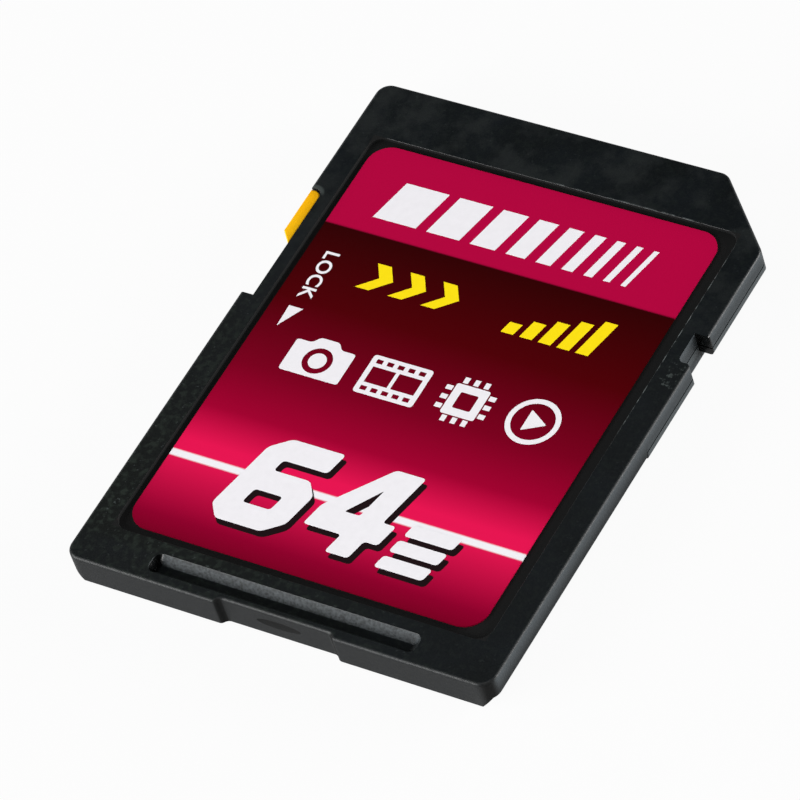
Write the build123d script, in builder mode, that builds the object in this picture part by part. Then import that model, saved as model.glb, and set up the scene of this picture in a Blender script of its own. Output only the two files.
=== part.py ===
from build123d import *
import os

os.makedirs("parts", exist_ok=True)

# A full-size memory card in millimetres. The origin is the middle of the back face,
# +X is to the right seen from the label, +Y points to the contact end and +Z to the label.

# Card envelope
card_width = 24.0
card_length = 32.0
card_thickness = 2.1
contact_corner_radius = 0.75
user_corner_radius = 0.8
key_chamfer = 4.0
key_corner_radius = 0.8

# Side rails: the back is narrower than the card, and a lip of the lower cover closes them
rail_inset = 0.75
rail_height = 0.7
lip_height = 0.5
lip_length = 16.5
skirt_lift = 0.05
cover_gap = 0.04

# Edges
top_edge_radius = 0.2
rail_edge_radius = 0.2
skirt_edge_radius = 0.3
back_edge_radius = 0.4
seam_reveal = 0.04
lead_in = 0.3

# Walls
roof_thickness = 0.45
side_wall = 1.0
contact_end_wall = 0.85
key_wall = 1.2
user_end_block = 2.4
end_wall = 0.85
end_wall_foot = 0.35
end_wall_flare = 0.4
end_wall_overhang = 0.6

# Detent notch in the right rail, measured from the contact end
notch_start = 9.68
notch_length = 1.85
notch_inner_radius = 0.3
notch_outer_radius = 0.25

# Switch window in the left rail, measured from the contact end
window_start = 7.4
window_length = 7.2
window_corner_radius = 0.45

# Write-protect slider and the tee slot that it runs in
slider_length = 3.56
slider_taper = 0.75
slider_end_gap = 0.08
slider_inset = 0.02
slider_top_gap = 0.12
slider_foot_gap = 0.08
slider_edge_radius = 0.08
neck_thickness = 0.3
neck_depth = 0.3
head_thickness = 0.6
head_depth = 0.33
run_clearance = 0.06

# Recess in the user end, with a gate mark
recess_width = 6.65
recess_depth = 0.28
recess_slant = 0.22
recess_inner_radius = 0.4
recess_outer_radius = 0.28
gate_mark_length = 2.6
gate_mark_depth = 0.08
gate_mark_radius = 0.6
gate_mark_drop = 0.85

# Finger groove in the label face, beside the user end
groove_length = 15.05
groove_width = 1.15
groove_offset = 0.53
groove_depth = 0.45
groove_slope = 0.36
groove_left_slope = 0.2
groove_right_slope = 0.5
groove_corner_radius = 0.42

# Label recess, and the label, which lies a little to the left in it
label_recess_side = 1.47
label_recess_contact_end = 3.35
label_recess_user_end = 2.35
label_recess_depth = 0.2
label_recess_corner_radius = 0.8
label_rim_radius = 0.04
label_gap_left = 0.34
label_gap_right = 0.74
label_gap_contact_end = 0.33
label_gap_user_end = 0.45
label_thickness = 0.08
label_corner_radius = 1.2

# Circuit board
board_thickness = 0.35
board_clearance = 0.05
peg_radius = 0.5
peg_from_user_end = 6.0
post_radius = 0.45
post_inset = 0.9

# Contacts: nine pads, numbered as in the card standard, from pad 9 at the cut corner to pad 8
contact_thickness = 0.035
contact_start = 1.4
contact_length = 4.1
key_contact_start = 4.2
first_contact_inset = 0.8
last_contact_inset = 0.575
seventh_pitch_share = 0.97
eighth_pitch_share = 0.68
rib_width = 0.8
contact_reveal = 0.12
narrow_contact_width = 1.0
opening_reveal = 0.25
opening_corner_radius = 0.3
pad_corner_radius = 0.2

# Packages and small components on the board
flash_width = 12.0
flash_length = 16.0
flash_margin = 1.2
controller_size = 5.0
controller_from_contact_end = 3.6
controller_offset = -2.8
package_headroom = 0.05
package_edge = 0.08
component_length = 1.0
component_width = 0.5
component_end = 0.22
component_waist = 0.03
capacitor_height = 0.5
capacitor_first_x = 2.4
capacitor_pitch_x = 1.9
capacitor_pitch_y = 1.3
resistor_height = 0.35
resistor_from_contact_end = 2.4

# Places that follow from the sizes above
half_width = card_width / 2
half_length = card_length / 2
body_half_width = half_width - rail_inset
seam_height = rail_height + lip_height
skirt_foot = rail_height + skirt_lift
lip_end = half_length - lip_length
end_wall_inner = -half_length + end_wall
ceiling_height = card_thickness - roof_thickness
board_bottom = rail_height
board_top = board_bottom + board_thickness
board_half_width = body_half_width - side_wall
board_front = half_length - contact_end_wall - board_clearance
board_back = -half_length + user_end_block + board_clearance
peg_side = board_half_width + board_clearance
peg_places = [(side * peg_side, -half_length + peg_from_user_end) for side in (-1, 1)]
recess_face = -half_length + recess_depth
window_high = half_length - window_start
notch_high = half_length - notch_start
label_recess_floor = card_thickness - label_recess_depth
label_recess_half_width = half_width - label_recess_side
label_recess_low = -half_length + label_recess_user_end
label_recess_high = half_length - label_recess_contact_end
package_height = ceiling_height - board_top - package_headroom
contact_pitch = (2 * board_half_width - first_contact_inset - last_contact_inset) / (
    6 + seventh_pitch_share + eighth_pitch_share
)
contact_steps = {9: 0, 1: 1, 2: 2, 3: 3, 4: 4, 5: 5, 6: 6}
contact_steps[7] = contact_steps[6] + seventh_pitch_share
contact_steps[8] = contact_steps[7] + eighth_pitch_share
opening_width = contact_pitch - rib_width


def nearest(sketch, x, y):
    """The corner of a sketch that lies nearest to a point."""
    return sketch.vertices().sort_by_distance((x, y))[0]


def card_plan():
    """Outline of the card, with its cut corner and rounded corners."""
    key_corners = [(half_width, half_length - key_chamfer), (half_width - key_chamfer, half_length)]
    user_corners = [(-half_width, -half_length), (half_width, -half_length)]
    with BuildSketch() as plan:
        Rectangle(card_width, card_length)
        chamfer(nearest(plan, half_width, half_length), key_chamfer)
        fillet([nearest(plan, x, y) for x, y in key_corners], key_corner_radius)
        fillet([nearest(plan, x, y) for x, y in user_corners], user_corner_radius)
        fillet(nearest(plan, -half_width, half_length), contact_corner_radius)
    return plan.sketch


def lip_zone():
    """The stretch of the card, from the contact end, where the lower cover has its lip."""
    with BuildSketch() as zone:
        with Locations((0, half_length - lip_length / 2)):
            Rectangle(card_width, lip_length)
    return zone.sketch


def cover_plan():
    """Card outline with the shallow recess in the user end."""
    outer = recess_width / 2
    inner = outer - recess_slant
    with BuildSketch() as plan:
        add(card_plan())
        with BuildLine():
            Polyline(
                (-outer, -half_length),
                (-inner, recess_face),
                (inner, recess_face),
                (outer, -half_length),
                close=True,
            )
        make_face(mode=Mode.SUBTRACT)
        fillet([nearest(plan, x, recess_face) for x in (-inner, inner)], recess_inner_radius)
        fillet([nearest(plan, x, -half_length) for x in (-outer, outer)], recess_outer_radius)
    return plan.sketch


def rail_plan():
    """Card outline with the detent notch in the right rail and the switch window in the left."""
    with BuildSketch() as plan:
        add(card_plan())
        with Locations((half_width - rail_inset / 2, notch_high - notch_length / 2)):
            Rectangle(rail_inset, notch_length, mode=Mode.SUBTRACT)
        with Locations((-half_width + rail_inset / 2, window_high - window_length / 2)):
            Rectangle(rail_inset, window_length, mode=Mode.SUBTRACT)
        fillet(nearest(plan, body_half_width, notch_high - notch_length), notch_inner_radius)
        fillet(nearest(plan, half_width, notch_high - notch_length), notch_outer_radius)
        fillet(nearest(plan, -body_half_width, window_high), window_corner_radius)
    return plan.sketch


def seam_groove_plan():
    """Rim of the rail outline beside the lip, where a narrow groove marks the seam of the covers."""
    with BuildSketch() as plan:
        add(rail_plan())
        offset(rail_plan(), amount=-seam_reveal, mode=Mode.SUBTRACT)
        add(lip_zone(), mode=Mode.INTERSECT)
    return plan.sketch


def pocket_plan(clearance):
    """Plan of the circuit board, or of the pocket round it when it has a clearance."""
    side = board_half_width + clearance
    front = board_front + clearance
    back = board_back - clearance
    key_inset = (key_wall + board_clearance - clearance) * 2**0.5
    key_line = half_width + half_length - key_chamfer - key_inset
    with BuildSketch() as plan:
        with Locations((0, (front + back) / 2)):
            Rectangle(2 * side, front - back)
        chamfer(nearest(plan, side, front), side + front - key_line)
    return plan.sketch


def rounded_plan(left, right, low, high, corner):
    """Plan of a rectangle with rounded corners, from its sides."""
    with BuildSketch() as plan:
        with Locations(((left + right) / 2, (low + high) / 2)):
            RectangleRounded(right - left, high - low, corner)
    return plan.sketch


def tee_section(clearance):
    """Section, in X and Z, of the slider's tongue, or of its slot when it has a clearance."""
    outside = -body_half_width - run_clearance - clearance
    head_start = -body_half_width + neck_depth + run_clearance - clearance
    head_end = -body_half_width + neck_depth + run_clearance + head_depth + clearance
    with BuildSketch() as tee:
        with Locations(((outside + head_end) / 2, seam_height)):
            Rectangle(head_end - outside, neck_thickness + 2 * clearance)
        with Locations(((head_start + head_end) / 2, seam_height)):
            Rectangle(head_end - head_start, head_thickness + 2 * clearance)
    return tee.sketch


def post_places():
    """Places where the upper cover holds the board down, one near each corner."""
    side = board_half_width - post_inset
    key_drop = key_chamfer - contact_end_wall + key_wall
    return [
        (-side, board_back + post_inset),
        (side, board_back + post_inset),
        (-side, board_front - post_inset),
        (side, board_front - key_drop),
    ]


def contact_x(number):
    """Middle of a contact across the card."""
    return board_half_width - first_contact_inset - contact_pitch * contact_steps[number]


def contact_front(number):
    """Edge of a contact nearest to the contact end."""
    return half_length - (key_contact_start if number == 9 else contact_start)


def contact_width(number):
    """Width of a contact: the last two share one opening and are narrower."""
    return narrow_contact_width if number in (7, 8) else opening_width - 2 * contact_reveal


def opening_plan():
    """Plan of the openings over the contacts, run out past the contact end."""
    run_out = half_length + 2 * opening_corner_radius
    shared_right = contact_x(6) - opening_width / 2 - rib_width
    shared_left = -board_half_width
    with BuildSketch() as plan:
        for number in (9, 1, 2, 3, 4, 5, 6):
            end = contact_front(number) - contact_length - opening_reveal
            with Locations((contact_x(number), (end + run_out) / 2)):
                RectangleRounded(opening_width, run_out - end, opening_corner_radius)
        end = contact_front(8) - contact_length - opening_reveal
        with Locations(((shared_left + shared_right) / 2, (end + run_out) / 2)):
            RectangleRounded(shared_right - shared_left, run_out - end, opening_corner_radius)
    return plan.sketch


# Upper cover: roof, side walls over the seam, skirt and user-end wall
with BuildPart() as upper_cover:
    with BuildSketch(Plane.XY.offset(skirt_foot)):
        add(card_plan())
        add(lip_zone(), mode=Mode.SUBTRACT)
    extrude(amount=card_thickness - skirt_foot)
    skirt_edges = upper_cover.faces().sort_by(Axis.Z)[0].edges().sort_by(Axis.Y)[:-1]
    fillet(skirt_edges, skirt_edge_radius)
    with BuildSketch(Plane.XY.offset(seam_height)):
        add(card_plan())
        add(lip_zone(), mode=Mode.INTERSECT)
    extrude(amount=card_thickness - seam_height)
    with BuildSketch(Plane.XZ.offset(half_length)):
        with BuildLine():
            Polyline(
                (-body_half_width, end_wall_foot),
                (body_half_width, end_wall_foot),
                (half_width, skirt_foot + end_wall_flare),
                (half_width, ceiling_height),
                (-half_width, ceiling_height),
                (-half_width, skirt_foot + end_wall_flare),
                close=True,
            )
        make_face()
    extrude(amount=-end_wall)
    with BuildSketch():
        add(cover_plan())
    extrude(amount=card_thickness, mode=Mode.INTERSECT)
    fillet(upper_cover.faces().sort_by(Axis.Z)[-1].edges(), top_edge_radius)

    # the gaps that the notch and the window leave in the rails
    with BuildSketch():
        add(card_plan())
        add(rail_plan(), mode=Mode.SUBTRACT)
    extrude(amount=card_thickness, mode=Mode.SUBTRACT)

    # room for the tray of the lower cover and for the board
    with BuildSketch():
        with Locations((0, (end_wall_inner + lip_end) / 2)):
            Rectangle(2 * body_half_width, lip_end - end_wall_inner)
    extrude(amount=seam_height, mode=Mode.SUBTRACT)
    with BuildSketch(Plane.XY.offset(seam_height)):
        add(pocket_plan(board_clearance))
    extrude(amount=ceiling_height - seam_height, mode=Mode.SUBTRACT)
    with BuildSketch(Plane.XY.offset(board_top)):
        with Locations(*post_places()):
            Circle(post_radius)
    extrude(amount=ceiling_height - board_top)
    with BuildSketch(Plane.XZ.offset(-window_high)):
        add(tee_section(run_clearance))
    extrude(amount=window_length, mode=Mode.SUBTRACT)

    # upper half of the groove along the seam
    with BuildSketch(Plane.XY.offset(seam_height)):
        add(seam_groove_plan())
    extrude(amount=seam_reveal, mode=Mode.SUBTRACT)

    # label recess with a rounded rim, finger groove and gate mark
    with BuildSketch(Plane.XY.offset(label_recess_floor)):
        add(rounded_plan(
            -label_recess_half_width,
            label_recess_half_width,
            label_recess_low,
            label_recess_high,
            label_recess_corner_radius,
        ))
    extrude(amount=label_recess_depth, mode=Mode.SUBTRACT)
    rim = upper_cover.faces().sort_by(Axis.Z)[-1].inner_wires()[0]
    fillet(rim.edges(), label_rim_radius)
    groove_middle = -half_length + groove_offset + groove_width / 2
    with BuildSketch(Plane.XY.offset(card_thickness)):
        with Locations((0, groove_middle)):
            RectangleRounded(groove_length, groove_width, groove_corner_radius)
    with BuildSketch(Plane.XY.offset(card_thickness - groove_depth)):
        with Locations(((groove_left_slope - groove_right_slope) / 2, groove_middle)):
            floor_length = groove_length - groove_left_slope - groove_right_slope
            floor_width = groove_width - 2 * groove_slope
            RectangleRounded(floor_length, floor_width, groove_corner_radius - groove_slope)
    loft(ruled=True, mode=Mode.SUBTRACT)
    gate_height = card_thickness - gate_mark_drop
    gate_axis_y = recess_face + gate_mark_depth - gate_mark_radius
    with BuildSketch(Plane.XY.offset(gate_height)):
        with BuildLine():
            gate_arc = ThreePointArc(
                (-gate_mark_length / 2, recess_face),
                (0, recess_face + gate_mark_depth),
                (gate_mark_length / 2, recess_face),
            )
            Polyline(
                gate_arc @ 1,
                (gate_mark_length / 2, gate_axis_y),
                (-gate_mark_length / 2, gate_axis_y),
                gate_arc @ 0,
            )
        make_face()
    revolve(axis=Axis((0, gate_axis_y, gate_height), (1, 0, 0)), mode=Mode.SUBTRACT)
upper_cover.part.label = "upper_cover"
export_step(upper_cover.part, "parts/upper_cover.step")

# Lower cover: back plate with a lip on both rails, a tray for the board and the contact openings
with BuildPart() as lower_cover:
    with BuildSketch(Plane.XZ.offset(-half_length)) as rail_section:
        with Locations((0, seam_height / 2)):
            Rectangle(2 * body_half_width, seam_height)
        with Locations((0, (rail_height + seam_height) / 2)):
            Rectangle(card_width, lip_height)
        for side in (-1, 1):
            fillet(nearest(rail_section, side * body_half_width, 0), back_edge_radius)
            fillet(nearest(rail_section, side * half_width, rail_height), rail_edge_radius)
    extrude(amount=lip_length - cover_gap)
    with BuildSketch(Plane.XZ.offset(-lip_end - cover_gap)) as tray_section:
        with Locations((0, rail_height / 2)):
            Rectangle(2 * body_half_width, rail_height)
        with Locations((0, seam_height / 2)):
            Rectangle(2 * (body_half_width - cover_gap), seam_height)
        fillet([nearest(tray_section, x, 0) for x in (-body_half_width, body_half_width)], back_edge_radius)
    extrude(amount=lip_end + cover_gap + half_length - end_wall_overhang)
    with BuildSketch(Plane.XY.offset(end_wall_foot)):
        with Locations((0, end_wall_inner + cover_gap - end_wall / 2)):
            Rectangle(card_width, end_wall)
    extrude(amount=seam_height - end_wall_foot, mode=Mode.SUBTRACT)
    with BuildSketch():
        add(rail_plan())
    extrude(amount=seam_height, mode=Mode.INTERSECT)

    # lower half of the groove along the seam, and a lead-in along the contact end
    with BuildSketch(Plane.XY.offset(seam_height - seam_reveal)):
        add(seam_groove_plan())
    extrude(amount=seam_reveal, mode=Mode.SUBTRACT)
    with BuildSketch(Plane.YZ):
        with BuildLine():
            Polyline((half_length, 0), (half_length - lead_in, 0), (half_length, lead_in), close=True)
        make_face()
    extrude(amount=half_width, both=True, mode=Mode.SUBTRACT)

    # tray for the board, with two pegs, and the slider's half of the slot
    with BuildSketch(Plane.XY.offset(rail_height)):
        add(pocket_plan(board_clearance))
    extrude(amount=lip_height, mode=Mode.SUBTRACT)
    with BuildSketch(Plane.XY.offset(board_bottom)):
        with Locations(*peg_places):
            Circle(peg_radius)
    extrude(amount=board_thickness)
    with BuildSketch(Plane.XZ.offset(-window_high)):
        add(tee_section(run_clearance))
    extrude(amount=window_length, mode=Mode.SUBTRACT)
    with BuildSketch():
        add(opening_plan())
    extrude(amount=rail_height, mode=Mode.SUBTRACT)
lower_cover.part.label = "lower_cover"
export_step(lower_cover.part, "parts/lower_cover.step")

# Write-protect slider: a tab in the window, carried by a tee-shaped tongue
slider_high = window_high - slider_end_gap
slider_low = slider_high - slider_length
with BuildPart() as write_protect_slider:
    tab_outer = -half_width + slider_inset
    tab_inner = -body_half_width - run_clearance
    tab_foot = rail_height + slider_foot_gap
    with BuildSketch(Plane.XY.offset(tab_foot)) as tab_plan:
        with BuildLine():
            Polyline(
                (tab_inner, slider_high),
                (tab_outer, slider_high),
                (tab_outer, slider_low + slider_taper),
                (tab_inner, slider_low),
                close=True,
            )
        make_face()
        fillet(nearest(tab_plan, tab_inner, slider_high), window_corner_radius)
    extrude(amount=card_thickness - slider_top_gap - tab_foot)
    tab_ends = write_protect_slider.faces().filter_by(Axis.Z)
    fillet(tab_ends.edges(), slider_edge_radius)
    with BuildSketch(Plane.XZ.offset(-slider_high)):
        add(tee_section(0))
    extrude(amount=slider_length)
write_protect_slider.part.label = "write_protect_slider"
export_step(write_protect_slider.part, "parts/write_protect_slider.step")

# Printed label in its recess
with BuildPart() as front_label:
    with BuildSketch(Plane.XY.offset(label_recess_floor)):
        add(rounded_plan(
            -label_recess_half_width + label_gap_left,
            label_recess_half_width - label_gap_right,
            label_recess_low + label_gap_user_end,
            label_recess_high - label_gap_contact_end,
            label_corner_radius,
        ))
    extrude(amount=label_thickness)
front_label.part.label = "front_label"
export_step(front_label.part, "parts/front_label.step")

# Circuit board, with half-round notches for the pegs
with BuildPart() as circuit_board:
    with BuildSketch(Plane.XY.offset(board_bottom)):
        add(pocket_plan(0))
        with Locations(*peg_places):
            Circle(peg_radius + board_clearance, mode=Mode.SUBTRACT)
    extrude(amount=board_thickness)
circuit_board.part.label = "circuit_board"
export_step(circuit_board.part, "parts/circuit_board.step")

# Gold contacts on the underside of the board
for number in contact_steps:
    with BuildPart() as contact_pad:
        with BuildSketch(Plane.XY.offset(board_bottom)):
            with Locations((contact_x(number), contact_front(number) - contact_length / 2)):
                RectangleRounded(contact_width(number), contact_length, pad_corner_radius)
        extrude(amount=-contact_thickness)
    contact_pad.part.label = f"contact_pad_{number}"
    export_step(contact_pad.part, f"parts/contact_pad_{number}.step")


def package(width, length, x, y):
    """Flat moulded package on the board, with bevelled top edges."""
    with BuildPart() as body:
        with BuildSketch(Plane.XY.offset(board_top)):
            with Locations((x, y)):
                Rectangle(width, length)
        extrude(amount=package_height)
        chamfer(body.faces().sort_by(Axis.Z)[-1].edges(), package_edge)
    return body.part


def chip_component(x, y, height):
    """Two-terminal chip component: a body between slightly larger end caps."""
    with BuildPart() as component:
        with BuildSketch(Plane.XY.offset(board_top)):
            with Locations((x, y)):
                Rectangle(component_length, component_width - 2 * component_waist)
        extrude(amount=height - component_waist)
        with BuildSketch(Plane.XY.offset(board_top)):
            end_shift = (component_length - component_end) / 2
            with Locations((x - end_shift, y), (x + end_shift, y)):
                Rectangle(component_end, component_width)
        extrude(amount=height)
    return component.part


# Flash package at the user end of the board and controller at the contact end
flash_package = package(flash_width, flash_length, 0, board_back + flash_margin + flash_length / 2)
flash_package.label = "flash_package"
export_step(flash_package, "parts/flash_package.step")
controller_y = half_length - controller_from_contact_end - controller_size / 2
controller_package = package(controller_size, controller_size, controller_offset, controller_y)
controller_package.label = "controller_package"
export_step(controller_package, "parts/controller_package.step")

# Capacitors in two rows beside the controller
for index in range(6):
    column, row = index % 3, index // 3
    capacitor_x = capacitor_first_x + column * capacitor_pitch_x
    capacitor_y = controller_y + (row - 0.5) * capacitor_pitch_y
    capacitor = chip_component(capacitor_x, capacitor_y, capacitor_height)
    capacitor.label = f"capacitor_{index + 1}"
    export_step(capacitor, f"parts/capacitor_{index + 1}.step")

# Series resistors in a row over the contacts
for number in range(1, 7):
    resistor = chip_component(contact_x(number), half_length - resistor_from_contact_end, resistor_height)
    resistor.label = f"resistor_{number}"
    export_step(resistor, f"parts/resistor_{number}.step")
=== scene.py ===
import math

import bmesh
import bpy
from mathutils import Matrix, Quaternion, Vector

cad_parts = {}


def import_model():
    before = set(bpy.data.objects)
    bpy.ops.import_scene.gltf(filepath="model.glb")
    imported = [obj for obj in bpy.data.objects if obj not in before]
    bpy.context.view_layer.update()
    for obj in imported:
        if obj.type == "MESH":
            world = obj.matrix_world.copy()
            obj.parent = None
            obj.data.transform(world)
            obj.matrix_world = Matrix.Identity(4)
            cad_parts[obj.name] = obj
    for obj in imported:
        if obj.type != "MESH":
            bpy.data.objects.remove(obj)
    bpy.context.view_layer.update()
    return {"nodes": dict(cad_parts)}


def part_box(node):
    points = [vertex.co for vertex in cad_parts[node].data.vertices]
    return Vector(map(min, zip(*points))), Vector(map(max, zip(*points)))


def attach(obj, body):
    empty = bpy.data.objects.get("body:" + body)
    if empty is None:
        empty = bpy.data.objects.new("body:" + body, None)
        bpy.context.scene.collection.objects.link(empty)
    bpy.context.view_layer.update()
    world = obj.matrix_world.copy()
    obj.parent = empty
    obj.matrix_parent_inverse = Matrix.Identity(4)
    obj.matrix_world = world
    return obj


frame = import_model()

scene = bpy.context.scene
scene.view_settings.view_transform = "Standard"

# Lengths are millimetres in the card's frame, and MM turns them into metres
MM = 0.001

# Camera: it looks at a point on the label face, turned about its own axis by the roll
CAMERA_AIM = (-0.705, -2.115, 2.1)
CAMERA_RANGE = 300.29
CAMERA_AZIMUTH = 44.303
CAMERA_ELEVATION = 47.974
CAMERA_ROLL = -19.596
CAMERA_LENS = 279.65
CAMERA_CLIP = 10.0

# Floor and surroundings; the glow is how much of the floor's white is its own, as the camera and as
# reflections see it, and the rest is lit
FLOOR_HALF_SIZE = 3000.0
FLOOR_DROP = 0.01
FLOOR_GREY = (0.6, 0.6, 0.6, 1.0)
FLOOR_GLOW = 0.94
FLOOR_GLOW_MIRRORED = 0.15
WORLD_WHITE = (1.0, 1.0, 1.0, 1.0)
WORLD_STRENGTH = 0.045

# Label print: places on the card and the shapes of the numerals; the edge is a share of the label's length
LABEL_LOW, LABEL_HIGH = (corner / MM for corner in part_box("front_label"))
BAND_EDGE = 6.92
STRIPE_HIGH = -8.37
STRIPE_LOW = -8.76
PRINT_EDGE = 0.0008
PRINT_SLANT = 0.24
INK_RISE = 0.006
SIGN_LINE = -1.1
NUMERAL_WIDTH = 4.2
NUMERAL_HEIGHT = 5.5
NUMERAL_STROKE = 1.3
NUMERAL_GAP = 0.7
NUMBER_PLACE = (-6.75, -11.45)
NUMBER_SHADOW_PLACE = (-6.45, -11.75)

# Inks and mouldings, and painted highlights and painted shade on the covers, as sRGB values from 0 to 255
CRIMSON = (176, 5, 61)
DEEP_MAROON = (47, 1, 2)
MAROON = (77, 0, 6)
WINE = (121, 0, 30)
ROSE = (159, 1, 47)
BRIGHT_ROSE = (228, 20, 80)
FADED_ROSE = (219, 19, 76)
DUSKY_ROSE = (138, 0, 42)
DARK_ROSE = (120, 0, 33)
INK_WHITE = (240, 238, 242)
INK_YELLOW = (253, 226, 14)
INK_BLACK = (24, 8, 12)
PLASTIC_BLACK = (7, 11, 13)
PLASTIC_CLOUD = (13, 18, 22)
PLASTIC_HAZE = (24, 28, 29)
PLASTIC_GREEN = (9, 13, 11)
# Painted shade for the covers' recesses, corners and hollow ends
PLASTIC_PAINTED_SHADE = (3, 4, 4)
PLASTIC_RUBBED = (31, 38, 33)
# Specks and scuffs of wear, and also the painted highlight at the switch window's corner
PLASTIC_SPECK_AND_HIGHLIGHT = (58, 64, 63)
# Painted highlight on the rims of the label recess
PLASTIC_RIM_HIGHLIGHT = (92, 98, 98)
# Painted highlight for the upper side walls and for the far slope of the finger groove
PLASTIC_PAINTED_HIGHLIGHT = (62, 67, 70)
# Painted highlight on the lower cover's lip
PLASTIC_LIP_HIGHLIGHT = (64, 69, 71)
PLASTIC_END = (23, 25, 26)
SLIDER_ORANGE = (255, 182, 0)
SLIDER_LIGHT = (255, 192, 6)
GOLD = (226, 178, 92)
GOLD_DULL = (196, 146, 66)
SOLDER_MASK = (14, 62, 34)
TRACE_GREEN = (26, 92, 48)
EPOXY_BLACK = (24, 24, 26)
EPOXY_GREY = (34, 34, 37)
CERAMIC_TAN = (150, 108, 74)
CERAMIC_DARK = (120, 82, 54)
RESISTOR_BLACK = (22, 22, 26)
RESISTOR_GREY = (38, 38, 44)
TIN = (196, 196, 192)

# Grain and clouds that both plastics share
FINE_GRAIN = {"per_mm": 9.0, "detail": 3.0, "roughness": 0.6}
SOFT_CLOUD = {"per_mm": 0.35, "detail": 3.0}

# How strong some marks on the covers are: handling wear, the painted sheen on the side walls, the painted
# rim highlight and the painted highlight on the groove slope
HANDLED_LEAST = 0.15
HANDLED_AT_USER_END = 0.45
SIDE_SHEEN_LEAST = 0.1
SIDE_SHEEN_BESIDE_LIP = 0.6
UPPER_RIM_SHARE = 0.6
SLOPE_HIGHLIGHT_LEAST = 0.15

# Roughness of the covers: of plain and of marked places, and what smooth places keep of it
COVER_ROUGHNESS = (0.41, 0.52)
HAZE_GLOSS = 0.1
DULL_ROUGHNESS = 0.8
SLOPE_ROUGHNESS = 0.6
SMOOTH_SHARE = 0.25

# Marks on the covers: the ranges that they fill or fade across, on the card or in the way that a wall faces
TOP_Z = (2.0, 2.05)
BELOW_TOP_Z = (2.07, 2.09)
HAZE_Y = (2.0, 11.0)
HANDLED_X_PLUS_Y = (-24.0, -6.0)
HANDLED_USER_END_Y = (-14.6, -14.0)
SIDE_FACING_X = (0.8, 0.95)
SIDE_SHEEN_Z = (1.15, 1.9)
LIP_Y = (-0.5, -0.3)
LIP_Z = (0.8, 1.15)
USER_END_Y = (-15.6, -15.5)
USER_END_FACING_Y = (-0.95, -0.8)
SCUFF_X = (11.0, 11.75)
SCUFF_Y = (2.9, 4.2)
WINDOW_CORNER = (-11.7, 8.15, 0.0)
WINDOW_CORNER_RING = (0.46, 0.56)
WINDOW_CORNER_Y = (8.2, 8.45)
RIGHT_RIM_X = (10.53, 10.58)
RIGHT_RIM_Y = (0.6, 10.0)
UPPER_RIM_X = (0.5, 7.5)
UPPER_RIM_Y = (12.66, 12.71)
GROOVE_Z = (1.5, 1.6)
GROOVE_SLOPE_X = (-7.1, 7.5)
GROOVE_SLOPE_Y = (-14.7, -14.34)
GROOVE_END_X = (-7.6, -7.2)
GROOVE_END_Y = (-15.5, -14.3)
LABEL_RECESS_X = (-10.575, 10.5)
LABEL_RECESS_Y = (-13.62, 12.65)
LABEL_RECESS_Z = (1.8, 1.85)
END_RECESS_WALL_X = (2.8, 3.7)
END_RECESS_FACING_X = (0.2, 0.4)
GATE_MARK_X = (1.4, 1.5)
GATE_MARK_Y = (-15.712, -15.6)
GATE_MARK_Z = (0.9, 1.6)
NOTCH_END_X = (11.2, 11.25)
NOTCH_END_Y = (6.25, 6.4)
FRONT_CORNER_X_MINUS_Y = (27.3, 27.5)


def linear(colour):
    """An sRGB colour as the linear red, green, blue and alpha that a socket takes."""
    shares = [part / 255 for part in colour]
    return [part / 12.92 if part <= 0.04045 else ((part + 0.055) / 1.055) ** 2.4 for part in shares] + [1.0]


class Nodes:
    """A material's node tree, and short calls that add to it."""

    def __init__(self, name):
        self.material = bpy.data.materials.new(name)
        self.material.use_nodes = True
        self.tree = self.material.node_tree

    def feed(self, node, inputs):
        """Sets or links a node's sockets."""
        for key, value in inputs.items():
            if isinstance(value, bpy.types.NodeSocket):
                self.tree.links.new(value, node.inputs[key])
            else:
                node.inputs[key].default_value = value

    def add(self, kind, inputs, **settings):
        """A new node with its settings and inputs."""
        node = self.tree.nodes.new("ShaderNode" + kind)
        for key, value in settings.items():
            setattr(node, key, value)
        self.feed(node, inputs)
        return node

    def math(self, operation, *values):
        """Arithmetic on values."""
        return self.add("Math", dict(enumerate(values)), operation=operation).outputs[0]


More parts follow.
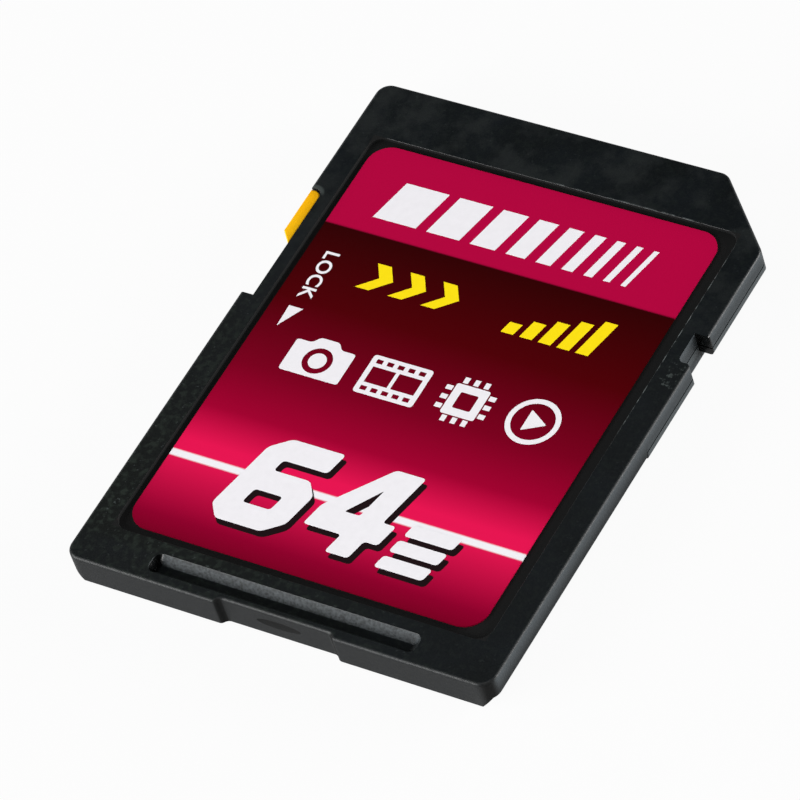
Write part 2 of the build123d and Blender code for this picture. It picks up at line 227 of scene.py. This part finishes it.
class Look(Nodes):
    """A material with a Principled shader, and calls for the patterns that feed it."""

    def __init__(self, name, sockets):
        super().__init__(name)
        self.shader = self.tree.nodes["Principled BSDF"]
        self.feed(self.shader, sockets)

    def place(self):
        """Places on the card in millimetres."""
        coordinates = self.add("TexCoord", {}).outputs["Object"]
        return self.stretched(coordinates, [1 / MM] * 3)

    def stretched(self, vector, factors):
        """A vector with each part multiplied."""
        return self.add("VectorMath", {0: vector, 1: factors}, operation="MULTIPLY").outputs[0]

    def axes(self, vector):
        """The three parts of a vector."""
        return self.add("SeparateXYZ", {0: vector}).outputs[:]

    def noise(self, place, per_mm, detail=2.0, roughness=0.5):
        """Cloudy noise from 0 to 1, with so many features to the millimetre."""
        inputs = {"Vector": place, "Scale": per_mm, "Detail": detail, "Roughness": roughness}
        return self.add("TexNoise", inputs).outputs["Fac"]

    def spread(self, value, low, high, start=0.3, end=0.7):
        """A value from start to end, mapped to low to high; the usual start and end suit noise."""
        inputs = {"Value": value, "From Min": start, "From Max": end, "To Min": low, "To Max": high}
        return self.add("MapRange", inputs).outputs["Result"]

    def rise(self, value, start, end):
        """A share that grows from 0 to 1 between two values."""
        return self.spread(value, 0.0, 1.0, start, end)

    def fall(self, value, start, end):
        """A share that shrinks from 1 to 0 between two values."""
        return self.spread(value, 1.0, 0.0, start, end)

    def window(self, value, low, high, soft):
        """A share that is 1 between two values and fades to 0 outside them."""
        return self.math("MINIMUM", self.rise(value, low - soft, low), self.fall(value, high, high + soft))

    def flecks(self, place, start, end, **pattern):
        """Noise cut to flecks: a share that grows between two of its levels."""
        return self.rise(self.noise(place, **pattern), start, end)

    def product(self, first, *others):
        """Shares multiplied."""
        for other in others:
            first = self.math("MULTIPLY", first, other)
        return first

    def most(self, first, *others):
        """The largest of several values."""
        for other in others:
            first = self.math("MAXIMUM", first, other)
        return first

    def ramp(self, value, stops):
        """Colours along a value; each stop is a position and an sRGB colour."""
        node = self.add("ValToRGB", {"Fac": value})
        elements = node.color_ramp.elements
        while len(elements) < len(stops):
            elements.new(1.0)
        for element, (position, colour) in zip(elements, stops):
            element.position = position
            element.color = linear(colour)
        return node.outputs["Color"]

    def between(self, noise, first, second):
        """Colours from one to another, by noise."""
        return self.ramp(self.spread(noise, 0.0, 1.0), [(0.0, first), (1.0, second)])

    def coat(self, below, share, colour):
        """An sRGB colour over another tone, by a share."""
        inputs = {"Factor": share, 6: below, 7: linear(colour)}
        return self.add("Mix", inputs, data_type="RGBA").outputs[2]

    def surface(self, tone, roughness):
        """Gives the shader its colour and roughness."""
        self.feed(self.shader, {"Base Color": tone, "Roughness": roughness})

    def bump(self, height, strength, depth):
        """Gives the surface a relief of so many millimetres."""
        inputs = {"Height": height, "Strength": strength, "Distance": depth * MM}
        self.feed(self.shader, {"Normal": self.add("Bump", inputs).outputs["Normal"]})


class CoverMarks:
    """Marks on the covers, some of them the moulding's own tone and wear and some painted highlights and
    painted shade; each is a share from 0 to 1 of how far a place has it.
    """

    def __init__(self, look, place):
        self.look = look
        self.place = place
        self.x, self.y, self.z = look.axes(place)
        facing_x, self.facing_y, _ = look.axes(look.add("TexCoord", {}).outputs["Normal"])
        self.sideways = look.math("ABSOLUTE", facing_x)
        self.from_middle = look.math("ABSOLUTE", self.x)
        self.at_top = look.rise(self.z, *TOP_Z)
        self.below_top = look.fall(self.z, *BELOW_TOP_Z)
        self.in_groove = look.product(look.rise(self.z, *GROOVE_Z), self.below_top)
        self.at_user_end = look.fall(self.y, *USER_END_Y)
        self.side_wall = look.rise(self.sideways, *SIDE_FACING_X)
        self.beside_lip = look.rise(self.y, *LIP_Y)

    def haze(self):
        """Patches of haze towards the contact end, and the gloss of the ground between them."""
        look = self.look
        near = look.rise(self.y, *HAZE_Y)
        patches = look.flecks(self.place, start=0.45, end=0.65, per_mm=0.5, detail=5.0, roughness=0.6)
        gloss = look.spread(patches, HAZE_GLOSS, 0.0, start=0.0, end=0.7)
        return look.product(near, patches), look.product(near, gloss)

    def handling(self):
        """Where the card is handled, most on the left rail by the user end; its mottling and specks."""
        look = self.look
        along = look.math("ADD", self.x, self.y)
        handled = look.spread(along, 1.0, HANDLED_LEAST, *HANDLED_X_PLUS_Y)
        limit = look.spread(self.y, HANDLED_AT_USER_END, 1.0, *HANDLED_USER_END_Y)
        handled = look.math("MINIMUM", handled, limit)
        mottle = look.flecks(self.place, start=0.48, end=0.66, per_mm=3.2, detail=4.0)
        specks = look.flecks(self.place, start=0.66, end=0.76, per_mm=5.5)
        return handled, look.product(handled, mottle), look.product(handled, specks)

    def painted_side_sheen(self):
        """Painted sheen on the side walls: lighter near the top, and more evenly beside the lip."""
        look = self.look
        near_top = look.spread(self.z, SIDE_SHEEN_LEAST, 1.0, *SIDE_SHEEN_Z)
        even = look.product(self.beside_lip, SIDE_SHEEN_BESIDE_LIP)
        return look.product(self.side_wall, look.most(near_top, even))

    def lip(self):
        """Painted highlight on the lower cover's lip."""
        height = self.look.window(self.z, *LIP_Z, soft=0.05)
        return self.look.product(self.side_wall, self.beside_lip, height)

    def user_end(self):
        """The end wall."""
        return self.look.product(self.look.fall(self.facing_y, *USER_END_FACING_Y), self.at_user_end)

    def scuffs(self):
        """A few scratches on the right rail beside the notch."""
        look = self.look
        across = look.window(self.x, *SCUFF_X, soft=0.15)
        patch = look.product(across, look.window(self.y, *SCUFF_Y, soft=0.2))
        scratches = look.flecks(self.place, start=0.57, end=0.66, per_mm=5.0, detail=3.0)
        return look.product(patch, self.at_top, scratches)

    def window_corner_highlight(self):
        """Painted highlight in a ring at the corner of the switch window."""
        look = self.look
        flat = look.add("CombineXYZ", {0: self.x, 1: self.y}).outputs[0]
        distance = look.add("VectorMath", {0: flat, 1: WINDOW_CORNER}, operation="DISTANCE").outputs["Value"]
        ring = look.window(distance, *WINDOW_CORNER_RING, soft=0.12)
        return look.product(ring, look.rise(self.y, *WINDOW_CORNER_Y), self.at_top)

    def painted_rim_highlight(self):
        """Painted highlights: broken bright lines along the right and upper rims of the label recess."""
        look = self.look
        right = look.product(
            look.window(self.x, *RIGHT_RIM_X, soft=0.01),
            look.window(self.y, *RIGHT_RIM_Y, soft=2.0),
        )
        upper = look.product(
            look.window(self.y, *UPPER_RIM_Y, soft=0.01),
            look.window(self.x, *UPPER_RIM_X, soft=1.5),
            UPPER_RIM_SHARE,
        )
        breaks = look.flecks(self.place, start=0.46, end=0.6, per_mm=1.9, detail=4.0)
        return look.product(look.most(right, upper), self.at_top, breaks)

    def groove_slope(self):
        """The far slope of the finger groove, and a painted highlight on it in specks."""
        look = self.look
        across = look.window(self.y, *GROOVE_SLOPE_Y, soft=0.02)
        slope = look.product(across, look.window(self.x, *GROOVE_SLOPE_X, soft=0.1), self.in_groove)
        noise = look.noise(self.place, per_mm=7.0, detail=4.0)
        slope_highlight_specks = look.spread(noise, SLOPE_HIGHLIGHT_LEAST, 1.0, start=0.35, end=0.65)
        return slope, look.product(slope, slope_highlight_specks)

    def smooth_ends(self):
        """The left end of the finger groove and the end of the notch, made smoother and painted dark as
        shade.
        """
        look = self.look
        across = look.window(self.y, *GROOVE_END_Y, soft=0.02)
        groove = look.product(across, look.window(self.x, *GROOVE_END_X, soft=0.1), self.in_groove)
        at_notch = look.window(self.y, *NOTCH_END_Y, soft=0.02)
        return look.most(groove, look.product(at_notch, look.rise(self.x, *NOTCH_END_X), self.below_top))

    def painted_shade_places(self):
        """Painted shade: the label recess, the walls of the end recess, the gate mark and the front corner,
        darkened.
        """
        look = self.look
        label_recess = look.product(
            look.window(self.x, *LABEL_RECESS_X, soft=0.01),
            look.window(self.y, *LABEL_RECESS_Y, soft=0.01),
            look.rise(self.z, *LABEL_RECESS_Z),
        )
        recess_walls = look.product(
            look.rise(self.sideways, *END_RECESS_FACING_X),
            look.window(self.from_middle, *END_RECESS_WALL_X, soft=0.1),
            self.at_user_end,
        )
        gate_mark = look.product(
            look.window(self.y, *GATE_MARK_Y, soft=0.006),
            look.fall(self.from_middle, *GATE_MARK_X),
            look.window(self.z, *GATE_MARK_Z, soft=0.05),
        )
        along = look.math("SUBTRACT", self.x, self.y)
        front_corner = look.product(look.rise(along, *FRONT_CORNER_X_MINUS_Y), self.below_top)
        return look.most(label_recess, recess_walls, gate_mark, front_corner)


def black_plastic():
    """Cover moulding: fine grain and clouds, with marks of use, painted highlights and painted shade over
    them.
    """
    look = Look("black_plastic", {"Specular IOR Level": 0.27})
    place = look.place()
    grain = look.noise(place, **FINE_GRAIN)
    tone = look.between(look.noise(place, **SOFT_CLOUD), PLASTIC_BLACK, PLASTIC_CLOUD)
    marks = CoverMarks(look, place)
    hazy, gloss = marks.haze()
    handled, mottled, specked = marks.handling()
    # the second share is a painted highlight in specks on the groove's far slope
    slope, painted_slope_highlight = marks.groove_slope()
    smooth = marks.smooth_ends()
    # painted shade: recesses, corners, the gate mark and the ends of the groove and notch are darkened
    painted_shade = look.most(marks.painted_shade_places(), smooth)
    # The coats for haze, handling, specks and scuffs are the moulding's own tone and wear; those for the
    # side walls, lip, window corner, rims and groove slope are painted highlights, and the last is painted
    # shade
    coats = [
        (hazy, PLASTIC_HAZE),
        (handled, PLASTIC_GREEN),
        (mottled, PLASTIC_RUBBED),
        (specked, PLASTIC_SPECK_AND_HIGHLIGHT),
        (marks.painted_side_sheen(), PLASTIC_PAINTED_HIGHLIGHT),
        (marks.lip(), PLASTIC_LIP_HIGHLIGHT),
        (marks.user_end(), PLASTIC_END),
        (marks.scuffs(), PLASTIC_SPECK_AND_HIGHLIGHT),
        (marks.window_corner_highlight(), PLASTIC_SPECK_AND_HIGHLIGHT),
        (marks.painted_rim_highlight(), PLASTIC_RIM_HIGHLIGHT),
        (painted_slope_highlight, PLASTIC_PAINTED_HIGHLIGHT),
        (painted_shade, PLASTIC_PAINTED_SHADE),
    ]
    for share, colour in coats:
        tone = look.coat(tone, share, colour)
    plain = look.math("SUBTRACT", look.spread(grain, *COVER_ROUGHNESS), gloss)
    rough = look.most(plain, look.product(painted_shade, DULL_ROUGHNESS), look.product(slope, SLOPE_ROUGHNESS))
    look.surface(tone, look.product(rough, look.spread(smooth, 1.0, SMOOTH_SHARE, start=0.0, end=1.0)))
    strength = look.spread(marks.y, 0.5, 0.25, LABEL_LOW.y, LABEL_HIGH.y)
    look.bump(grain, strength, depth=0.02)
    return look.material


def orange_plastic():
    """Slider moulding: fine grain and faint clouds in its tone."""
    look = Look("orange_plastic", {"Specular IOR Level": 0.2})
    place = look.place()
    grain = look.noise(place, **FINE_GRAIN)
    tone = look.between(look.noise(place, **SOFT_CLOUD), SLIDER_ORANGE, SLIDER_LIGHT)
    look.surface(tone, look.spread(grain, 0.38, 0.48))
    look.bump(grain, strength=0.3, depth=0.02)
    return look.material


def printed_film():
    """Label film: a crimson band over a graded field with a pale stripe."""
    look = Look("printed_film", {"Specular IOR Level": 0.06})
    place = look.place()
    low, high = LABEL_LOW.y, LABEL_HIGH.y

    def share(y):
        return (y - low) / (high - low)

    stops = [
        (0.0, DARK_ROSE),
        (share(-12.2), DUSKY_ROSE),
        (share(STRIPE_LOW) - PRINT_EDGE, FADED_ROSE),
        (share(STRIPE_LOW) + PRINT_EDGE, INK_WHITE),
        (share(STRIPE_HIGH) - PRINT_EDGE, INK_WHITE),
        (share(STRIPE_HIGH) + PRINT_EDGE, BRIGHT_ROSE),
        (share(-7.6), BRIGHT_ROSE),
        (share(-5.4), ROSE),
        (share(-2.5), WINE),
        (share(2.0), MAROON),
        (share(BAND_EDGE) - PRINT_EDGE, DEEP_MAROON),
        (share(BAND_EDGE) + PRINT_EDGE, CRIMSON),
    ]
    tone = look.ramp(look.rise(look.axes(place)[1], low, high), stops)
    grain = look.noise(place, per_mm=14.0)
    look.surface(tone, look.spread(grain, 0.28, 0.38))
    look.bump(grain, strength=0.1, depth=0.003)
    return look.material


def ink(name, colour):
    """Screen-printed ink, faintly uneven."""
    look = Look(name, {"Specular IOR Level": 0.2})
    place = look.place()
    thin = [part * 0.985 for part in colour]
    tone = look.between(look.noise(place, per_mm=2.5, detail=3.0), thin, colour)
    look.surface(tone, look.spread(look.noise(place, per_mm=12.0), 0.36, 0.46))
    return look.material


def contact_gold():
    """Plated gold, with the fine lengthwise wear of a card that has been in a socket."""
    look = Look("contact_gold", {"Metallic": 1.0})
    lengthwise = look.stretched(look.place(), [14.0, 0.6, 14.0])
    wear = look.noise(lengthwise, per_mm=1.0, detail=3.0)
    look.surface(look.between(wear, GOLD_DULL, GOLD), look.spread(wear, 0.22, 0.38))
    look.bump(wear, strength=0.2, depth=0.004)
    return look.material


def solder_mask():
    """Green lacquer over copper traces, which show as raised paler lines."""
    look = Look("solder_mask", {"Specular IOR Level": 0.5})
    place = look.place()
    inputs = {"Vector": place, "Scale": 0.35, "Distortion": 1.5, "Detail": 1.0, "Detail Scale": 0.6}
    wave = look.add("TexWave", inputs, bands_direction="X").outputs["Fac"]
    trace = look.rise(wave, 0.62, 0.7)
    tone = look.ramp(trace, [(0.0, SOLDER_MASK), (1.0, TRACE_GREEN)])
    look.surface(tone, look.spread(look.noise(place, per_mm=6.0), 0.3, 0.42))
    look.bump(trace, strength=0.4, depth=0.02)
    return look.material


def moulded_epoxy():
    """Matt moulding compound of the packages, with its fine filler grain."""
    look = Look("moulded_epoxy", {"Specular IOR Level": 0.4})
    grain = look.noise(look.place(), per_mm=16.0)
    look.surface(look.between(grain, EPOXY_BLACK, EPOXY_GREY), look.spread(grain, 0.55, 0.7))
    look.bump(grain, strength=0.4, depth=0.01)
    return look.material


def chip_ceramic(name, dark, light):
    """Ceramic body between tinned ends."""
    look = Look(name, {"Specular IOR Level": 0.5})
    along = look.axes(look.add("TexCoord", {}).outputs["Generated"])[0]
    from_middle = look.math("ABSOLUTE", look.math("SUBTRACT", along, 0.5))
    tinned = look.math("GREATER_THAN", from_middle, 0.28)
    grain = look.noise(look.place(), per_mm=9.0)
    look.surface(look.coat(look.between(grain, dark, light), tinned, TIN), look.spread(grain, 0.3, 0.45))
    look.feed(look.shader, {"Metallic": tinned})
    return look.material


def paint(look, *names):
    """Gives CAD nodes a material."""
    for name in names:
        slots = frame["nodes"][name].data.materials
        slots.clear()
        slots.append(look)


def numbered(name, count):
    """Names of like nodes, from 1."""
    return [f"{name}_{number}" for number in range(1, count + 1)]


def box(left, low, right, high):
    """Outline of an upright rectangle."""
    return [(left, low), (right, low), (right, high), (left, high)]


def slanted(left, low, width, height):
    """Outline of a bar that leans with the rest of the print."""
    lean, high = PRINT_SLANT * height, low + height
    return [(left, low), (left + width, low), (left + width + lean, high), (left + lean, high)]


def circle(x, y, radius, steps=48):
    """Outline of a disc."""
    turns = [2 * math.pi * step / steps for step in range(steps)]
    return [(x + radius * math.cos(turn), y + radius * math.sin(turn)) for turn in turns]


def rounded(points, radius, steps=6):
    """An outline with its corners rounded."""
    result = []
    for index, corner in enumerate(points):
        here = Vector(corner)
        before = (Vector(points[index - 1]) - here).normalized() * radius
        after = (Vector(points[(index + 1) % len(points)]) - here).normalized() * radius
        for step in range(steps + 1):
            share = step / steps
            result.append(here + before * (1 - share) ** 2 + after * share**2)
    return [tuple(point) for point in result]


def moved(outlines, x, y):
    """Outlines shifted across the card."""
    return [[(px + x, py + y) for px, py in outline] for outline in outlines]


def leaning(outlines):
    """Outlines sheared by the slant of the print."""
    return [[(x + PRINT_SLANT * y, y) for x, y in outline] for outline in outlines]


def lay(name, curve, look, rise, turn=0.0, x=0.0, y=0.0):
    """Makes a flat curve into a thin closed layer of ink on the label."""
    curve.dimensions = "2D"
    curve.fill_mode = "BOTH"
    curve.extrude = rise / 2
    holder = bpy.data.objects.new(name, curve)
    mesh = bpy.data.meshes.new_from_object(holder)
    bpy.data.objects.remove(holder)
    bpy.data.curves.remove(curve)
    shape = bmesh.new()
    shape.from_mesh(mesh)
    bmesh.ops.remove_doubles(shape, verts=shape.verts, dist=rise / 20)
    bmesh.ops.recalc_face_normals(shape, faces=shape.faces)
    place = Matrix.Translation((x, y, LABEL_HIGH.z + rise / 2)) @ Matrix.Rotation(turn, 4, "Z")
    shape.transform(Matrix.Scale(MM, 4) @ place)
    shape.to_mesh(mesh)
    shape.free()
    mesh.name = name
    mesh.materials.clear()
    mesh.materials.append(look)
    piece = bpy.data.objects.new(name, mesh)
    scene.collection.objects.link(piece)
    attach(piece, "card")


def print_shapes(name, outlines, look, rise=INK_RISE):
    """Prints outlines; one inside another is a hole."""
    curve = bpy.data.curves.new(name, "CURVE")
    curve.dimensions = "2D"
    for outline in outlines:
        spline = curve.splines.new("POLY")
        spline.points.add(len(outline) - 1)
        for point, (x, y) in zip(spline.points, outline):
            point.co = (x, y, 0.0, 1.0)
        spline.use_cyclic_u = True
    lay(name, curve, look, rise)


def print_text(name, text, look, size, x, y, turn, weight, spacing):
    """Prints plain lettering from a baseline point."""
    curve = bpy.data.curves.new(name, "FONT")
    curve.body = text
    curve.size = size
    curve.offset = weight
    curve.space_character = spacing
    lay(name, curve, look, INK_RISE, turn, x, y)


def band_bars():
    """Leaning bars that narrow along the band."""
    left, low, height, gap = -8.0, 7.9, 2.5, 0.62
    widest, narrowing, count = 2.5, 0.76, 9
    outlines = []
    for number in range(count):
        width = widest * narrowing**number
        outlines.append(slanted(left, low, width, height))
        left += width + gap
    return outlines


def chevrons():
    """Three arrowheads that point along the card's width."""
    left, pitch, low, middle, high = -6.6, 1.9, 3.6, 4.45, 5.3
    arrowhead = [(0, low), (0.8, low), (1.75, middle), (1.2, high), (0.4, high), (0.95, middle)]
    return [[(left + pitch * number + x, y) for x, y in arrowhead] for number in range(3)]


def gauge_bars():
    """Five leaning bars that grow taller."""
    left, pitch, low, width, height, growth = 1.9, 1.05, 3.4, 0.7, 0.7, 0.38
    return [slanted(left + pitch * number, low, width, height + growth * number) for number in range(5)]


def camera_sign():
    """A camera from the front."""
    side, low, shoulder, high = 1.7, -1.15, 0.85, 1.25
    body = [
        (-side, low), (side, low), (side, shoulder), (0.85, shoulder),
        (0.55, high), (-0.55, high), (-0.85, shoulder), (-side, shoulder),
    ]
    return [rounded(body, 0.18), circle(0, -0.12, 0.8), circle(0, -0.12, 0.48)]


def film_sign():
    """A strip of film with two frames."""
    outlines = [rounded(box(-1.7, -1.2, 1.7, 1.2), 0.2)]
    for number in range(5):
        left = -1.42 + 0.61 * number
        outlines.append(box(left, 0.72, left + 0.36, 0.98))
        outlines.append(box(left, -0.98, left + 0.36, -0.72))
    return outlines + [box(-1.42, -0.5, -0.1, 0.5), box(0.1, -0.5, 1.42, 0.5)]


def chip_sign():
    """A chip with its pins."""
    outlines = [rounded(box(-0.95, -0.95, 0.95, 0.95), 0.15), rounded(box(-0.5, -0.5, 0.5, 0.5), 0.1)]
    for number in range(3):
        near, far = -0.72 + 0.58 * number, -0.44 + 0.58 * number
        outlines += [box(near, 1.03, far, 1.4), box(near, -1.4, far, -1.03)]
        outlines += [box(1.03, near, 1.4, far), box(-1.4, near, -1.03, far)]
    return outlines


def play_sign():
    """A play triangle in a ring."""
    triangle = [(-0.38, -0.66), (0.74, 0.0), (-0.38, 0.66)]
    return [circle(0, 0, 1.4), circle(0, 0, 1.12), rounded(triangle, 0.1)]


def lock_arrow():
    """Arrowhead towards the locked end of the switch's run."""
    return [[(-9.2, 1.47), (-8.38, 1.47), (-9.15, 0.13)]]


def six():
    """Block numeral 6."""
    width, height, stroke = NUMERAL_WIDTH, NUMERAL_HEIGHT, NUMERAL_STROKE
    cut, bowl, arm = 0.8, 3.5, 0.4
    outer = [
        (cut, 0), (width - cut, 0), (width, cut), (width, bowl - cut), (width - cut, bowl), (stroke, bowl),
        (stroke, height - stroke), (width - arm, height - stroke), (width - arm, height), (cut, height),
        (0, height - cut), (0, cut),
    ]
    return [rounded(outer, 0.22), rounded(box(stroke, stroke, width - stroke, bowl - stroke), 0.2)]


def four():
    """Block numeral 4."""
    width, height, stroke = NUMERAL_WIDTH, NUMERAL_HEIGHT, NUMERAL_STROKE
    cross, bar_end, shoulder = 1.15, 0.75, 0.35
    bar_top = cross + stroke
    right = width - bar_end
    left = right - stroke
    outer = [
        (left, 0), (right, 0), (right, cross), (width, cross), (width, bar_top), (right, bar_top),
        (right, height), (left - shoulder, height), (0, bar_top), (0, cross), (left, cross),
    ]
    inner = [(stroke, bar_top), (left, bar_top), (left, height - stroke)]
    return [rounded(outer, 0.2), rounded(inner, 0.12)]


def cells():
    """Three stacked memory cells."""
    width, height, pitch = 2.7, 0.75, 1.05
    return [rounded(box(0, pitch * row, width, pitch * row + height), 0.2) for row in range(3)]


def print_label():
    """The label's print, in generic shapes."""
    white = ink("white_ink", INK_WHITE)
    yellow = ink("yellow_ink", INK_YELLOW)
    black = ink("black_ink", INK_BLACK)
    print_shapes("print_bars", band_bars(), white)
    print_shapes("print_chevrons", chevrons(), yellow)
    print_shapes("print_gauge", gauge_bars(), yellow)
    signs = {
        "camera": (camera_sign(), -6.0),
        "film": (film_sign(), -1.7),
        "chip": (chip_sign(), 2.4),
        "play": (play_sign(), 6.2),
    }
    for name, (sign, x) in signs.items():
        print_shapes(f"print_{name}", moved(sign, x, SIGN_LINE), white)
    print_text(
        "print_lock", "LOCK", white, size=1.12, x=-9.12, y=5.25, turn=-math.pi / 2, weight=0.02, spacing=1.07
    )
    print_shapes("print_arrow", lock_arrow(), white)
    pitch = NUMERAL_WIDTH + NUMERAL_GAP
    number = leaning(six() + moved(four(), pitch, 0) + moved(cells(), 2 * pitch, 0))
    print_shapes("print_number_shadow", moved(number, *NUMBER_SHADOW_PLACE), black)
    print_shapes("print_number", moved(number, *NUMBER_PLACE), white, rise=2 * INK_RISE)


def camera():
    """The photograph's viewpoint."""
    azimuth, elevation = math.radians(CAMERA_AZIMUTH), math.radians(CAMERA_ELEVATION)
    back = Vector((
        math.sin(azimuth) * math.cos(elevation),
        -math.cos(azimuth) * math.cos(elevation),
        math.sin(elevation),
    ))
    lens = bpy.data.cameras.new("camera")
    lens.lens = CAMERA_LENS
    lens.clip_start = CAMERA_CLIP * MM
    holder = bpy.data.objects.new("camera", lens)
    holder.location = (Vector(CAMERA_AIM) + back * CAMERA_RANGE) * MM
    holder.rotation_mode = "QUATERNION"
    turn = Quaternion((0, 0, 1), math.radians(CAMERA_ROLL))
    holder.rotation_quaternion = (-back).to_track_quat("-Z", "Y") @ turn
    scene.collection.objects.link(holder)
    scene.camera = holder


def floor():
    """A wide white floor under the card, shown white with the card's soft shadow on it."""
    mesh = bpy.data.meshes.new("floor")
    shape = bmesh.new()
    bmesh.ops.create_grid(shape, x_segments=1, y_segments=1, size=FLOOR_HALF_SIZE * MM)
    shape.to_mesh(mesh)
    shape.free()
    plane = bpy.data.objects.new("floor", mesh)
    scene.collection.objects.link(plane)
    plane.location.z = -FLOOR_DROP * MM
    nodes = Nodes("floor_white")
    nodes.tree.nodes.clear()
    path = nodes.add("LightPath", {}).outputs
    mirrored = nodes.math("MAXIMUM", path["Is Glossy Ray"], path["Is Transmission Ray"])
    dimmed = nodes.math("MULTIPLY", mirrored, FLOOR_GLOW_MIRRORED)
    share = nodes.math("MULTIPLY_ADD", path["Is Camera Ray"], FLOOR_GLOW, dimmed)
    lit = nodes.add("BsdfDiffuse", {"Color": FLOOR_GREY}).outputs[0]
    glowing = nodes.add("Emission", {}).outputs[0]
    mixed = nodes.add("MixShader", {"Fac": share, 1: lit, 2: glowing}).outputs[0]
    nodes.add("OutputMaterial", {"Surface": mixed})
    mesh.materials.append(nodes.material)


def world():
    """Even dim light from all round."""
    surroundings = bpy.data.worlds.new("studio")
    surroundings.use_nodes = True
    background = surroundings.node_tree.nodes["Background"]
    background.inputs["Color"].default_value = WORLD_WHITE
    background.inputs["Strength"].default_value = WORLD_STRENGTH
    scene.world = surroundings


def area_light(name, toward, distance, width, height, watts):
    """A soft box in a direction from the card, facing it; its lengths are in metres."""
    lamp = bpy.data.lights.new(name, "AREA")
    lamp.shape = "RECTANGLE"
    lamp.size = width
    lamp.size_y = height
    lamp.energy = watts
    holder = bpy.data.objects.new(name, lamp)
    direction = Vector(toward).normalized()
    holder.location = direction * distance
    holder.rotation_mode = "QUATERNION"
    holder.rotation_quaternion = (-direction).to_track_quat("-Z", "Y")
    scene.collection.objects.link(holder)


paint(black_plastic(), "upper_cover", "lower_cover")
paint(orange_plastic(), "write_protect_slider")
paint(printed_film(), "front_label")
paint(contact_gold(), *numbered("contact_pad", 9))
paint(solder_mask(), "circuit_board")
paint(moulded_epoxy(), "flash_package", "controller_package")
paint(chip_ceramic("capacitor_ceramic", CERAMIC_DARK, CERAMIC_TAN), *numbered("capacitor", 6))
paint(chip_ceramic("resistor_ceramic", RESISTOR_BLACK, RESISTOR_GREY), *numbered("resistor", 6))
print_label()
camera()
floor()
world()
area_light("left_box", toward=(-0.62, -0.75, 0.3), distance=0.45, width=0.4, height=0.2, watts=3.4)
area_light("right_box", toward=(0.78, 0.6, 0.2), distance=0.45, width=0.4, height=0.14, watts=3.2)
area_light("overhead_box", toward=(0.33, -0.34, 0.88), distance=0.5, width=0.3, height=0.3, watts=0.8)
area_light("rim_box", toward=(-0.84, 0.48, 0.26), distance=0.45, width=0.3, height=0.12, watts=0.2)
